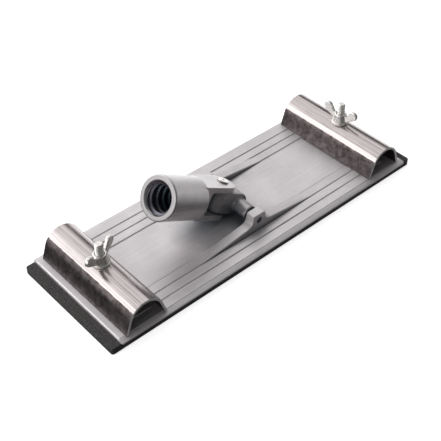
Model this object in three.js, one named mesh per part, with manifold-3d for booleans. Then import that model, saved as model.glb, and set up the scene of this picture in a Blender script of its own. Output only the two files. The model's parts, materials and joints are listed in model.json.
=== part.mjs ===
// Drywall pole sander head: cast plate with pad, two paper clamps and a swivelling pole socket.
// Millimetres, +Z up, X along the plate, Y across it, Z = 0 on the underside of the pad.
import * as THREE from 'three';
import { mergeVertices } from 'three/addons/utils/BufferGeometryUtils.js';
import Module from 'manifold-3d';

const wasm = await Module();
wasm.setup();

// ---- driving dimensions ----
const PAD_LENGTH = 235;
const PAD_WIDTH = 80.4;
const PAD_THICKNESS = 4.4;
const PAD_CORNER_RADIUS = 1.8;

const PLATE_LENGTH = 223;
const PLATE_WIDTH = 82.5;
const PLATE_TOP_Z = 6.3;
const PLATE_RIM_Z = 5.2;
const PLATE_RIM_ROUND = 0.35;
const PLATE_CORNER_RADIUS = 1.5;
const PLATE_END_ROUND = 1.2;
const PANEL_DROP = 0.4;
const PANEL_STEP_RUN = 0.5;
const GROOVE_WIDTH = 1.0;
const GROOVE_DEPTH = 0.55;
const GROOVE_FLOOR_SHARE = 0.3;
const GROOVE_HALF_LENGTH = 100;
const PANEL_HALF = 19.24;
const GROOVE_LINES = [25.49, 31.74];
const BEVEL_HALF = 37.9;
const BEVEL_STEP = 0.35;
const BEVEL_LIP = 0.28;
const BEVEL_FOOT_SHARE = 0.4;

const RIB_INNER = 19.24;
const RIB_OUTER = 25.49;
const RIB_HALF_LENGTH = 44;
const RIB_CREST_Z = 10.1;
const EAR_TOP_Z = 17.3;
const EAR_HALF_TOP = 4.6;
const EAR_HALF_ROOT = 10.8;
const EAR_CORNER = 0.9;
const EAR_NECK_HALF = 5.1;
const EAR_NECK_Z = 14;

const TILT_AXIS_Z = 13;
const TILT_REST = THREE.MathUtils.degToRad(58.7);
const SWING_REST = THREE.MathUtils.degToRad(2.7);
const PIVOT_PIN_RADIUS = 2;
const PIVOT_PIN_HALF = 24;
const PRESS_GAP = 0.05;
const RUN_GAP = 0.1;
const PIN_CHAMFER = 0.4;

const BARREL_RADIUS = 4.5;
const BARREL_HALF = 17.6;
const TONGUE_HALF_WIDTH = 7;
const TONGUE_HALF_THICK = 6.8;
const SWING_AXIS_OFFSET = 13;

const TINE_HALF_WIDTH = 8;
const TINE_INNER = 7.2;
const TINE_OUTER = 10.8;
const FORK_WEB_START = 15.5;
const SOCKET_REAR = 21.5;
const SOCKET_MOUTH = 51;
const SOCKET_RADIUS = 13;
const SOCKET_REAR_RADIUS = 12.6;
const SOCKET_MOUTH_ROUND = 1.1;
const SOCKET_REAR_ROUND = 0.8;
const MOUTH_ROUND_SHARE = 0.3;
const BORE_DEPTH = 27;
const THREAD_MAJOR_RADIUS = 9.5;
const THREAD_MINOR_RADIUS = 7.9;
const THREAD_PITCH = 5.08;
const THREAD_BORE_INSET = 0.6;
const THREAD_MOUTH_HALF = 1.9;
const THREAD_ROOT_HALF = 0.75;
const THREAD_STEPS_PER_TURN = 28;
const BORE_CHAMFER = 0.9;
const BORE_CHAMFER_FLARE = 0.54;
const THREAD_RUN_IN = 1;
const THREAD_FLOOR_SPACE = 2.28;

const RIVET_RADIUS = 2.5;
const RIVET_HEAD_RADIUS = 3.3;
const RIVET_HEAD_HEIGHT = 0.8;
const RIVET_HEAD_GAP = 0.25;
const RIVET_DIMPLE_RADIUS = 0.8;
const RIVET_DIMPLE_DEPTH = 0.7;

// The left clamp and its bolt stand 1 mm towards the front edge.
const CLAMP_PLACES = { left: [-93.7, -1], right: [94.2, 0] };
const CLAMP_HALF_LENGTH = 38.5;
const CLAMP_SHEET = 1.5;
const CLAMP_ARCH_RADIUS = 11.3;
const CLAMP_ARCH_CENTRE = 5.4;
const CLAMP_LEG_LEAN = THREE.MathUtils.degToRad(18.5);
const CLAMP_HOLE_RADIUS = 3;
const CREST_Z = PLATE_TOP_Z + CLAMP_ARCH_CENTRE + CLAMP_ARCH_RADIUS;

const BOSS_RADIUS = 7.5;
const BOSS_HEIGHT = 2.6;
const BOLT_RADIUS = 2.4;
const BOLT_TOP_Z = 36.5;
const BOLT_TIP_CHAMFER = 0.5;
const BOLT_HEAD_RADIUS = 5.2;
const BOLT_HEAD_HEIGHT = 1.6;
const BOLT_HEAD_SHOULDER = [1.2, 0.7];
const BOLT_HEAD_GAP = 0.2;
const BOLT_NECK = 4.9;
const BOLT_NECK_BELOW_BOSS = 0.6;
const BOLT_NECK_OVERLAP = 0.3;
const WASHER_RADIUS = 5.4;
const WASHER_THICKNESS = 1;
const WASHER_HOLE_RADIUS = 2.8;

const NUT_BASE_RADIUS = 4.7;
const NUT_TOP_RADIUS = 3.9;
const NUT_HEIGHT = 5.6;
const NUT_BORE_RADIUS = 2.55;
const NUT_SKIRT = 0.8;
const NUT_TOP_CHAMFER = 0.5;
const WING_THICKNESS = 2.4;
const WING_TIP_REACH = 9.4;
const WING_TIP_HEIGHT = 7.2;
const WING_TIP_RADIUS = 2.9;
const WING_LOBE_FROM = -0.38 * Math.PI;
const WING_LOBE_TO = 0.86 * Math.PI;
const WING_ROOT_OUTER = [0.6, 0.9];
const WING_ROOT_INNER = [2, 0.6];
const WING_NECK_Z = 4.9;
const WING_NECK_OUTER = 0.7;
const WING_NECK_INNER = 1;
const LEFT_NUT_TURN = THREE.MathUtils.degToRad(20);
const RIGHT_NUT_TURN = THREE.MathUtils.degToRad(-84);

const ROUND_SEGMENTS = 32;
const SOCKET_SEGMENTS = 48;
const CUT_MARGIN = 1;

// ---- geometry helpers ----
function signedVolume(points, triangles) {
  const corner = (i) => new THREE.Vector3().fromArray(points, 3 * triangles[i]);
  let volume = 0;
  for (let i = 0; i < triangles.length; i += 3) {
    volume += corner(i).dot(corner(i + 1).cross(corner(i + 2))) / 6;
  }
  return volume;
}

function toManifold(geometry) {
  const bare = geometry.clone();
  bare.deleteAttribute('normal');
  bare.deleteAttribute('uv');
  const welded = mergeVertices(bare, 1e-5);
  const points = new Float32Array(welded.attributes.position.array);
  const triangles = new Uint32Array(welded.index.array);
  if (signedVolume(points, triangles) < 0) {
    for (let i = 0; i < triangles.length; i += 3) {
      [triangles[i + 1], triangles[i + 2]] = [triangles[i + 2], triangles[i + 1]];
    }
  }
  return new wasm.Manifold(new wasm.Mesh({ numProp: 3, vertProperties: points, triVerts: triangles }));
}

function toGeometry(solid) {
  const mesh = solid.getMesh();
  const geometry = new THREE.BufferGeometry();
  geometry.setAttribute('position', new THREE.BufferAttribute(new Float32Array(mesh.vertProperties), 3));
  geometry.setIndex(new THREE.BufferAttribute(new Uint32Array(mesh.triVerts), 1));
  const flat = geometry.toNonIndexed();
  flat.computeVertexNormals();
  return flat;
}

function boxBetween(x0, x1, y0, y1, z0, z1) {
  const box = new THREE.BoxGeometry(x1 - x0, y1 - y0, z1 - z0);
  box.translate((x0 + x1) / 2, (y0 + y1) / 2, (z0 + z1) / 2);
  return toManifold(box);
}

// Solid of revolution about Z from [radius, z] pairs that start and end on the axis.
function turned(profile, segments = ROUND_SEGMENTS) {
  const points = profile.map(([r, z]) => new THREE.Vector2(r, z));
  const lathe = new THREE.LatheGeometry(points, segments);
  lathe.rotateX(Math.PI / 2);
  return toManifold(lathe);
}

function rod(radius, z0, z1, segments = ROUND_SEGMENTS) {
  return turned([[0, z0], [radius, z0], [radius, z1], [0, z1]], segments);
}

// Bar along Z with chamfered ends.
function chamferedRod(radius, z0, z1, chamfer) {
  return turned([
    [0, z0],
    [radius - chamfer, z0],
    [radius, z0 + chamfer],
    [radius, z1 - chamfer],
    [radius - chamfer, z1],
    [0, z1],
  ]);
}

// Closed outline of [u, v] pairs swept from w0 to w1; u, v, w become X, Z, Y.
function extrudedXZ(outline, y0, y1) {
  const shape = new THREE.Shape(outline.map(([x, z]) => new THREE.Vector2(x, z)));
  const body = new THREE.ExtrudeGeometry(shape, { depth: y1 - y0, bevelEnabled: false });
  body.rotateX(Math.PI / 2);
  body.translate(0, y1, 0);
  return toManifold(body);
}

// Closed outline of [y, z] pairs swept along X.
function extrudedYZ(outline, x0, x1) {
  const shape = new THREE.Shape(outline.map(([y, z]) => new THREE.Vector2(y, z)));
  const body = new THREE.ExtrudeGeometry(shape, { depth: x1 - x0, bevelEnabled: false });
  body.rotateX(Math.PI / 2);
  body.rotateZ(Math.PI / 2);
  body.translate(x0, 0, 0);
  return toManifold(body);
}

// Closed outline of [x, y] pairs raised from z0 to z1.
function extrudedXY(outline, z0, z1) {
  const shape = new THREE.Shape(outline.map(([x, y]) => new THREE.Vector2(x, y)));
  const body = new THREE.ExtrudeGeometry(shape, { depth: z1 - z0, bevelEnabled: false });
  body.translate(0, 0, z0);
  return toManifold(body);
}

function arcPoints(cx, cy, radius, from, to, count) {
  const points = [];
  for (let i = 0; i <= count; i += 1) {
    const angle = from + ((to - from) * i) / count;
    points.push([cx + radius * Math.cos(angle), cy + radius * Math.sin(angle)]);
  }
  return points;
}

function roundedRectangle(length, width, radius, count = 6) {
  const x = length / 2 - radius;
  const y = width / 2 - radius;
  const quarter = Math.PI / 2;
  return [
    ...arcPoints(x, y, radius, 0, quarter, count),
    ...arcPoints(-x, y, radius, quarter, 2 * quarter, count),
    ...arcPoints(-x, -y, radius, 2 * quarter, 3 * quarter, count),
    ...arcPoints(x, -y, radius, 3 * quarter, 4 * quarter, count),
  ];
}

function joined(solids) {
  return solids.slice(1).reduce((sum, solid) => sum.add(solid), solids[0]);
}

function without(solid, cutters) {
  return cutters.reduce((rest, cutter) => rest.subtract(cutter), solid);
}

function mirroredY(points) {
  return points.map(([u, v]) => [-u, v]).reverse();
}

// ---- materials ----
function metal(colour, roughness) {
  return new THREE.MeshStandardMaterial({ color: colour, roughness, metalness: 1 });
}

function castAluminium() {
  return metal(0xb9b6b4, 0.5);
}

function brightSheet() {
  return metal(0xd0cdcb, 0.16);
}

function zincHardware() {
  return metal(0xc2bfb8, 0.3);
}

function blackRubber() {
  return new THREE.MeshStandardMaterial({ color: 0x1d1e1f, roughness: 0.85, metalness: 0 });
}

const group = new THREE.Group();
group.name = 'pole_sander_head';

function addPart(name, solid, material, matrix = null) {
  const geometry = toGeometry(matrix ? solid.transform(matrix.elements) : solid);
  const mesh = new THREE.Mesh(geometry, material);
  mesh.name = name;
  group.add(mesh);
}

// ---- pad ----
function buildPad() {
  return extrudedXY(roundedRectangle(PAD_LENGTH, PAD_WIDTH, PAD_CORNER_RADIUS), 0, PAD_THICKNESS);
}

// ---- cast plate ----
// Top surface from the rim to the outermost land on one side, as [y, z] pairs.
function plateBevelSide() {
  const half = GROOVE_WIDTH / 2;
  return [
    [PLATE_WIDTH / 2, PAD_THICKNESS],
    [PLATE_WIDTH / 2, PLATE_RIM_Z - PLATE_RIM_ROUND],
    [PLATE_WIDTH / 2 - PLATE_RIM_ROUND, PLATE_RIM_Z],
    [BEVEL_HALF + half, PLATE_TOP_Z - BEVEL_LIP],
    [BEVEL_HALF + half * BEVEL_FOOT_SHARE, PLATE_TOP_Z - BEVEL_STEP],
    [BEVEL_HALF, PLATE_TOP_Z],
  ];
}

// Grooves and the step down to the centre panel on one side, as [y, z] pairs.
function plateGrooveSide() {
  const half = GROOVE_WIDTH / 2;
  const floorHalf = half * GROOVE_FLOOR_SHARE;
  const grooves = [...GROOVE_LINES].reverse().flatMap((y) => [
    [y + half, PLATE_TOP_Z],
    [y + floorHalf, PLATE_TOP_Z - GROOVE_DEPTH],
    [y - floorHalf, PLATE_TOP_Z - GROOVE_DEPTH],
    [y - half, PLATE_TOP_Z],
  ]);
  return [
    ...grooves,
    [PANEL_HALF + half, PLATE_TOP_Z],
    [PANEL_HALF + floorHalf, PLATE_TOP_Z - GROOVE_DEPTH],
    [PANEL_HALF - floorHalf, PLATE_TOP_Z - GROOVE_DEPTH],
    [PANEL_HALF - floorHalf - PANEL_STEP_RUN, PLATE_TOP_Z - PANEL_DROP],
  ];
}

// The grooves stop under the clamps; the two ends of the plate are plain.
function plateSlab() {
  const plain = plateBevelSide();
  const grooved = [...plain, ...plateGrooveSide()];
  const middle = extrudedYZ([...grooved, ...mirroredY(grooved)], -GROOVE_HALF_LENGTH, GROOVE_HALF_LENGTH);
  const endLength = PLATE_LENGTH / 2 - GROOVE_HALF_LENGTH;
  const end = extrudedYZ([...plain, ...mirroredY(plain)], 0, endLength);
  const section = joined([
    middle,
    end.translate(GROOVE_HALF_LENGTH, 0, 0),
    end.translate(-PLATE_LENGTH / 2, 0, 0),
  ]);
  const plan = extrudedXY(
    roundedRectangle(PLATE_LENGTH, PLATE_WIDTH, PLATE_CORNER_RADIUS),
    PAD_THICKNESS,
    PLATE_TOP_Z + CUT_MARGIN,
  );
  const endX = PLATE_LENGTH / 2;
  const round = PLATE_END_ROUND;
  const profile = [
    [-endX, PAD_THICKNESS],
    [endX, PAD_THICKNESS],
    ...arcPoints(endX - round, PLATE_TOP_Z - round, round, 0, Math.PI / 2, 6),
    ...arcPoints(-endX + round, PLATE_TOP_Z - round, round, Math.PI / 2, Math.PI, 6),
  ];
  const rounded = extrudedXZ(profile, -PLATE_WIDTH, PLATE_WIDTH);
  return section.intersect(plan).intersect(rounded);
}

// Outline of a rib that ramps up into the pivot ear, as [x, z] pairs.
function earSide() {
  const flare = [];
  const steps = 8;
  for (let i = 0; i <= steps; i += 1) {
    const angle = (Math.PI / 2) * (i / steps);
    flare.push([
      EAR_HALF_ROOT - (EAR_HALF_ROOT - EAR_NECK_HALF) * Math.sin(angle),
      RIB_CREST_Z + (EAR_NECK_Z - RIB_CREST_Z) * (1 - Math.cos(angle)),
    ]);
  }
  return [
    [RIB_HALF_LENGTH, PLATE_TOP_Z - GROOVE_DEPTH],
    [RIB_HALF_LENGTH, PLATE_TOP_Z],
    ...flare,
    ...arcPoints(EAR_HALF_TOP - EAR_CORNER, EAR_TOP_Z - EAR_CORNER, EAR_CORNER, 0, Math.PI / 2, 4),
  ];
}

function pivotRib(side) {
  const profile = earSide();
  const outline = [...profile, ...mirroredY(profile)];
  const near = Math.min(side * RIB_INNER, side * RIB_OUTER);
  const far = Math.max(side * RIB_INNER, side * RIB_OUTER);
  return extrudedXZ(outline, near, far);
}

function alongY(solid) {
  return solid.transform(new THREE.Matrix4().makeRotationX(-Math.PI / 2).elements);
}

function buildPlate() {
  const places = Object.values(CLAMP_PLACES);
  const bosses = places.map(([x, y]) => rod(BOSS_RADIUS, PLATE_RIM_Z, PLATE_TOP_Z + BOSS_HEIGHT)
    .translate(x, y, 0));
  const body = joined([plateSlab(), pivotRib(-1), pivotRib(1), ...bosses]);
  const pinHole = alongY(rod(PIVOT_PIN_RADIUS + PRESS_GAP, -RIB_OUTER - CUT_MARGIN, RIB_OUTER + CUT_MARGIN))
    .translate(0, 0, TILT_AXIS_Z);
  const half = BOLT_NECK / 2 + PRESS_GAP;
  const recessTop = PAD_THICKNESS + BOLT_HEAD_GAP + BOLT_HEAD_HEIGHT;
  const boltCuts = places.flatMap(([x, y]) => [
    rod(BOLT_HEAD_RADIUS + BOLT_HEAD_GAP, PAD_THICKNESS - CUT_MARGIN, recessTop).translate(x, y, 0),
    boxBetween(x - half, x + half, y - half, y + half, PAD_THICKNESS, PLATE_TOP_Z + BOSS_HEIGHT + CUT_MARGIN),
  ]);
  return without(body, [pinHole, ...boltCuts]);
}

// ---- clamps ----
function archOutline(radius, footReach) {
  const lean = CLAMP_LEG_LEAN;
  const centreZ = PLATE_TOP_Z + CLAMP_ARCH_CENTRE;
  const arc = arcPoints(0, centreZ, radius, lean, Math.PI - lean, 24);
  return [[footReach, PLATE_TOP_Z], ...arc, [-footReach, PLATE_TOP_Z]];
}

// Where the line tangent to the arch at the leg angle meets the plate.
function footReach(radius) {
  return (radius + CLAMP_ARCH_CENTRE * Math.sin(CLAMP_LEG_LEAN)) / Math.cos(CLAMP_LEG_LEAN);
}

function buildClamp([x, y]) {
  const outer = archOutline(CLAMP_ARCH_RADIUS, footReach(CLAMP_ARCH_RADIUS));
  const innerRadius = CLAMP_ARCH_RADIUS - CLAMP_SHEET;
  const inner = archOutline(innerRadius, footReach(innerRadius));
  const sheet = extrudedXZ([...outer, ...inner.reverse()], -CLAMP_HALF_LENGTH, CLAMP_HALF_LENGTH);
  const hole = rod(CLAMP_HOLE_RADIUS, CREST_Z - 4 * CLAMP_SHEET, CREST_Z + CUT_MARGIN);
  return sheet.subtract(hole).translate(x, y, 0);
}

// ---- bolts, washers and wing nuts ----
function buildBolt([x, y]) {
  const headBase = PAD_THICKNESS + BOLT_HEAD_GAP;
  const headTop = headBase + BOLT_HEAD_HEIGHT;
  const neckTop = PLATE_TOP_Z + BOSS_HEIGHT - BOLT_NECK_BELOW_BOSS;
  const half = BOLT_NECK / 2;
  const [shoulderIn, shoulderDown] = BOLT_HEAD_SHOULDER;
  const turnedBody = turned([
    [0, headBase],
    [BOLT_HEAD_RADIUS, headBase],
    [BOLT_HEAD_RADIUS, headTop - shoulderDown],
    [BOLT_HEAD_RADIUS - shoulderIn, headTop],
    [BOLT_RADIUS, headTop],
    [BOLT_RADIUS, BOLT_TOP_Z - BOLT_TIP_CHAMFER],
    [BOLT_RADIUS - BOLT_TIP_CHAMFER, BOLT_TOP_Z],
    [0, BOLT_TOP_Z],
  ]);
  const neck = boxBetween(-half, half, -half, half, headTop - BOLT_NECK_OVERLAP, neckTop);
  return turnedBody.add(neck).translate(x, y, 0);
}

function buildWasher([x, y]) {
  const disc = rod(WASHER_RADIUS, CREST_Z, CREST_Z + WASHER_THICKNESS);
  const hole = rod(WASHER_HOLE_RADIUS, CREST_Z - CUT_MARGIN, CREST_Z + WASHER_THICKNESS + CUT_MARGIN);
  return disc.subtract(hole).translate(x, y, 0);
}

// One wing as [reach, height] pairs: a lobe on a neck that leaves the hub low down.
function wingOutline() {
  const lobe = arcPoints(
    WING_TIP_REACH,
    WING_TIP_HEIGHT,
    WING_TIP_RADIUS,
    WING_LOBE_FROM,
    WING_LOBE_TO,
    14,
  );
  return [
    [NUT_BASE_RADIUS - WING_ROOT_INNER[0], WING_ROOT_INNER[1]],
    [NUT_BASE_RADIUS + WING_ROOT_OUTER[0], WING_ROOT_OUTER[1]],
    ...lobe,
    [NUT_TOP_RADIUS + WING_NECK_OUTER, WING_NECK_Z],
    [NUT_TOP_RADIUS - WING_NECK_INNER, WING_NECK_Z],
  ];
}

function buildWingNut([x, y], turn) {
  const hub = turned([
    [0, 0],
    [NUT_BASE_RADIUS, 0],
    [NUT_BASE_RADIUS, NUT_SKIRT],
    [NUT_TOP_RADIUS, NUT_HEIGHT - NUT_TOP_CHAMFER],
    [NUT_TOP_RADIUS - NUT_TOP_CHAMFER, NUT_HEIGHT],
    [0, NUT_HEIGHT],
  ]);
  const outline = wingOutline();
  const half = WING_THICKNESS / 2;
  const wings = [outline, mirroredY(outline)].map((points) => extrudedXZ(points, -half, half));
  const bore = rod(NUT_BORE_RADIUS, -CUT_MARGIN, NUT_HEIGHT + CUT_MARGIN);
  const nut = joined([hub, ...wings]).subtract(bore);
  return nut
    .rotate(0, 0, THREE.MathUtils.radToDeg(turn))
    .translate(x, y, CREST_Z + WASHER_THICKNESS);
}

// ---- swivel ----
// Swivel frame: Z runs from the tilt axis towards the pole, Y is the tilt axis.
const swivelFrame = new THREE.Matrix4()
  .makeTranslation(0, 0, TILT_AXIS_Z)
  .multiply(new THREE.Matrix4().makeRotationY(-TILT_REST));

// Socket frame: origin on the swing pin, Z towards the mouth, X is the swing axis.
const socketFrame = swivelFrame.clone()
  .multiply(new THREE.Matrix4().makeTranslation(0, 0, SWING_AXIS_OFFSET))
  .multiply(new THREE.Matrix4().makeRotationX(SWING_REST));

function alongX(solid) {
  return solid.transform(new THREE.Matrix4().makeRotationY(Math.PI / 2).elements);
}

// Plate lying across X with one round end about the origin and a square end at reach.
function roundEndedBar(halfWidth, reach, x0, x1) {
  const outline = [
    [halfWidth, reach],
    [-halfWidth, reach],
    ...arcPoints(0, 0, halfWidth, Math.PI, 2 * Math.PI, 16),
  ];
  return extrudedYZ(outline, x0, x1);
}

function buildSwivelBlock() {
  const barrel = alongY(chamferedRod(BARREL_RADIUS, -BARREL_HALF, BARREL_HALF, PIN_CHAMFER));
  const tongueOutline = [
    [-TONGUE_HALF_WIDTH, 0],
    [TONGUE_HALF_WIDTH, 0],
    ...arcPoints(0, SWING_AXIS_OFFSET, TONGUE_HALF_WIDTH, 0, Math.PI, 16),
  ];
  const tongue = extrudedYZ(tongueOutline, -TONGUE_HALF_THICK, TONGUE_HALF_THICK);
  const hub = alongY(rod(TONGUE_HALF_THICK, -TONGUE_HALF_WIDTH, TONGUE_HALF_WIDTH));
  const holeHalf = BARREL_HALF + CUT_MARGIN;
  const tiltHole = alongY(rod(PIVOT_PIN_RADIUS + RUN_GAP, -holeHalf, holeHalf));
  const swingHole = alongX(rod(RIVET_RADIUS + RUN_GAP, -TINE_INNER, TINE_INNER))
    .translate(0, 0, SWING_AXIS_OFFSET);
  return without(joined([barrel, hub, tongue]), [tiltHole, swingHole]);
}

function buildPivotPin() {
  return alongY(chamferedRod(PIVOT_PIN_RADIUS, -PIVOT_PIN_HALF, PIVOT_PIN_HALF, PIN_CHAMFER))
    .translate(0, 0, TILT_AXIS_Z);
}

// Helical groove of the pole thread, swept as one closed strip about Z.
function threadGroove(z0, z1) {
  const turns = (z1 - z0) / THREAD_PITCH;
  const count = Math.round(THREAD_STEPS_PER_TURN * turns);
  const inner = THREAD_MINOR_RADIUS - THREAD_BORE_INSET;
  const section = [
    [inner, -THREAD_MOUTH_HALF],
    [THREAD_MAJOR_RADIUS, -THREAD_ROOT_HALF],
    [THREAD_MAJOR_RADIUS, THREAD_ROOT_HALF],
    [inner, THREAD_MOUTH_HALF],
  ];
  const positions = [];
  for (let i = 0; i <= count; i += 1) {
    const angle = (2 * Math.PI * turns * i) / count;
    const rise = z0 + ((z1 - z0) * i) / count;
    section.forEach(([r, dz]) => {
      positions.push(r * Math.cos(angle), r * Math.sin(angle), rise + dz);
    });
  }
  const index = [];
  const sides = section.length;
  for (let i = 0; i < count; i += 1) {
    for (let k = 0; k < sides; k += 1) {
      const next = (k + 1) % sides;
      const a = i * sides + k;
      const b = i * sides + next;
      index.push(a, b + sides, b, a, a + sides, b + sides);
    }
  }
  const last = count * sides;
  index.push(0, 1, 2, 0, 2, 3);
  index.push(last, last + 2, last + 1, last, last + 3, last + 2);
  const strip = new THREE.BufferGeometry();
  strip.setAttribute('position', new THREE.Float32BufferAttribute(positions, 3));
  strip.setIndex(index);
  return toManifold(strip);
}

function buildSocket() {
  const mouthShoulder = SOCKET_MOUTH_ROUND * MOUTH_ROUND_SHARE;
  const shell = turned([
    [0, SOCKET_REAR],
    [SOCKET_REAR_RADIUS - SOCKET_REAR_ROUND, SOCKET_REAR],
    [SOCKET_REAR_RADIUS, SOCKET_REAR + SOCKET_REAR_ROUND],
    [SOCKET_RADIUS, SOCKET_MOUTH - SOCKET_MOUTH_ROUND],
    [SOCKET_RADIUS - mouthShoulder, SOCKET_MOUTH - mouthShoulder],
    [SOCKET_RADIUS - SOCKET_MOUTH_ROUND, SOCKET_MOUTH],
    [0, SOCKET_MOUTH],
  ], SOCKET_SEGMENTS);
  const upper = roundEndedBar(TINE_HALF_WIDTH, SOCKET_REAR + CUT_MARGIN, TINE_INNER, TINE_OUTER);
  const lower = roundEndedBar(TINE_HALF_WIDTH, SOCKET_REAR + CUT_MARGIN, -TINE_OUTER, -TINE_INNER);
  const web = boxBetween(
    -TINE_OUTER,
    TINE_OUTER,
    -TINE_HALF_WIDTH,
    TINE_HALF_WIDTH,
    FORK_WEB_START,
    SOCKET_REAR + CUT_MARGIN,
  );
  const floorZ = SOCKET_MOUTH - BORE_DEPTH;
  const bore = turned([
    [0, floorZ],
    [THREAD_MINOR_RADIUS, floorZ],
    [THREAD_MINOR_RADIUS, SOCKET_MOUTH - BORE_CHAMFER - THREAD_RUN_IN],
    [THREAD_MAJOR_RADIUS, SOCKET_MOUTH - BORE_CHAMFER],
    [THREAD_MAJOR_RADIUS + BORE_CHAMFER_FLARE, SOCKET_MOUTH],
    [THREAD_MAJOR_RADIUS + BORE_CHAMFER_FLARE, SOCKET_MOUTH + CUT_MARGIN],
    [0, SOCKET_MOUTH + CUT_MARGIN],
  ], SOCKET_SEGMENTS);
  const groove = threadGroove(floorZ + THREAD_FLOOR_SPACE, SOCKET_MOUTH + THREAD_MOUTH_HALF);
  const rivetHole = alongX(rod(RIVET_RADIUS + PRESS_GAP, -TINE_OUTER - CUT_MARGIN, TINE_OUTER + CUT_MARGIN));
  return without(joined([shell, upper, lower, web]), [bore, groove, rivetHole]);
}

function buildSwingRivet() {
  const under = TINE_OUTER + RIVET_HEAD_GAP;
  const crown = under + RIVET_HEAD_HEIGHT;
  const head = [
    [RIVET_RADIUS, under],
    [RIVET_HEAD_RADIUS, under],
    [RIVET_HEAD_RADIUS, under + RIVET_HEAD_HEIGHT / 2],
    [RIVET_HEAD_RADIUS - RIVET_HEAD_HEIGHT / 2, crown],
    [RIVET_DIMPLE_RADIUS, crown],
    [0, crown - RIVET_DIMPLE_DEPTH],
  ];
  const foot = head.map(([r, z]) => [r, -z]).reverse();
  return alongX(turned([...foot, ...head]));
}

// ---- assembly ----
addPart('pad', buildPad(), blackRubber());
addPart('base_plate', buildPlate(), castAluminium());
[['left', LEFT_NUT_TURN], ['right', RIGHT_NUT_TURN]].forEach(([label, turn]) => {
  const place = CLAMP_PLACES[label];
  addPart(`clamp_${label}`, buildClamp(place), brightSheet());
  addPart(`clamp_bolt_${label}`, buildBolt(place), zincHardware());
  addPart(`washer_${label}`, buildWasher(place), zincHardware());
  addPart(`wing_nut_${label}`, buildWingNut(place, turn), zincHardware());
});
addPart('pivot_pin', buildPivotPin(), zincHardware());
addPart('swivel_block', buildSwivelBlock(), castAluminium(), swivelFrame);
addPart('pole_socket', buildSocket(), castAluminium(), socketFrame);
addPart('swing_rivet', buildSwingRivet(), zincHardware(), socketFrame);

export default group;
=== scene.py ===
"""Drywall pole sander head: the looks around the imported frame.

Shapes are worked out in millimetres in the frame's own axes and scaled to metres in one place, piece().
"""
import json
import math

import bmesh
import bpy
import numpy as np
from mathutils import Matrix, Vector


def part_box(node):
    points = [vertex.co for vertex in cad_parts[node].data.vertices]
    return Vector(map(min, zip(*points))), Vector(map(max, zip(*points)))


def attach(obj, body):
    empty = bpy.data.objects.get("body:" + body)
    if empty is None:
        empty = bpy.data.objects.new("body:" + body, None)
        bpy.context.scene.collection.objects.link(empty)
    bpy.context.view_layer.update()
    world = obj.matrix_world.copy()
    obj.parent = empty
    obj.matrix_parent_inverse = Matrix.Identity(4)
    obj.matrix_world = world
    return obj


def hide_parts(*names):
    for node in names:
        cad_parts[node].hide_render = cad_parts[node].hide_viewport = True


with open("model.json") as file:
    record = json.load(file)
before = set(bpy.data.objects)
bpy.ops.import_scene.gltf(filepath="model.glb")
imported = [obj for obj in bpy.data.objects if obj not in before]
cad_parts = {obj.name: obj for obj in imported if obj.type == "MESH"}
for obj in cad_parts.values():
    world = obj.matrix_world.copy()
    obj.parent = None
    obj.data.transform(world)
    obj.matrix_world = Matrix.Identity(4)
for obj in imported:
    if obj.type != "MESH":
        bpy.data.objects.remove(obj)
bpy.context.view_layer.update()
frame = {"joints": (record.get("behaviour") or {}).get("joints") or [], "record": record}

MM = 0.001

# ---- driving dimensions, millimetres ----
OVERSHOOT = 1  # how far a cutting solid reaches past what it cuts
GROOVE_LINES = (31.74, 25.49)
PANEL_HALF = 19.24
BEVEL_HALF = 37.9
PLATE_TOP = 6.3
PLATE_RIM = 5.2
GROOVE_HALF = 0.5
GROOVE_FLOOR_HALF = 0.15
GROOVE_DEPTH = 0.55
GROOVE_HALF_LENGTH = 100
PANEL_DROP = 0.4
PANEL_STEP_RUN = 0.5
PLATE_CORNER = 1.5
PLATE_END_ROUND = 1.2
LIP = 0.14
RIM_ROUND = 0.35
BEVEL_CREST_OUT = 0.5
BEVEL_CREST_DROP = 0.28
BEVEL_CREST_ROUND = 0.2
BEVEL_STEP_OUT = 0.2
BEVEL_STEP_DROP = 0.35

PAD_CORNER = 1.8
PAD_FOOT_RISE = 0.15
PAD_FOOT_INSET = 0.12
PAD_RIM = 0.3
PAD_RIM_SHOULDER = 0.1

RIB_INNER = 19.24
RIB_OUTER = 25.49
RIB_HALF_LENGTH = 44
RIB_CREST = 10.1
RIB_EDGE = 0.55
RIB_SUNK = 0.4
RIB_END_DROP = 0.15
EAR_TOP = 17.3
EAR_HALF_TOP = 4.6
EAR_NECK_HALF = 5.1
EAR_NECK_Z = 14
EAR_HALF_ROOT = 10.8
EAR_CORNER = 0.9

PIN_RADIUS = 2.0
PIN_FIT = 0.05
PIN_EDGE = 0.4
BOSS_RADIUS = 7.5
BOSS_HEIGHT = 2.6
BOSS_SUNK = 0.6
BOSS_ROUND = 0.5
BOSS_SHOULDER = 0.15
BOLT_HEAD_RADIUS = 5.2
BOLT_HEAD_HEIGHT = 1.6
BOLT_HEAD_GAP = 0.2
BOLT_NECK_HALF = 2.45
BOLT_RADIUS = 2.4
BOLT_PITCH = 1.058
BOLT_THREAD_DEPTH = 0.34
BOLT_RIDGE_SUNK = 0.3
BOLT_RIDGE_SHARE = 0.96
BOLT_CREST_HALF = 0.09
BOLT_STUD_SUNK = 0.5
BOLT_NECK_SUNK = 0.3
BOLT_NECK_SHORT = 0.6
BOLT_TIP_LENGTH = 0.6
BOLT_TIP_INSET = 0.55
BOLT_CROWN_HEIGHT = 0.7
BOLT_CROWN_INSET = 1.2

CLAMP_SHEET = 1.5
CLAMP_ARCH_RADIUS = 11.3
CLAMP_ARCH_CENTRE = 5.4
CLAMP_LEAN = math.radians(18.5)
CLAMP_HOLE = 3.0
CLAMP_HOLE_REACH = 6.0
CLAMP_EDGE = 0.25

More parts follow.
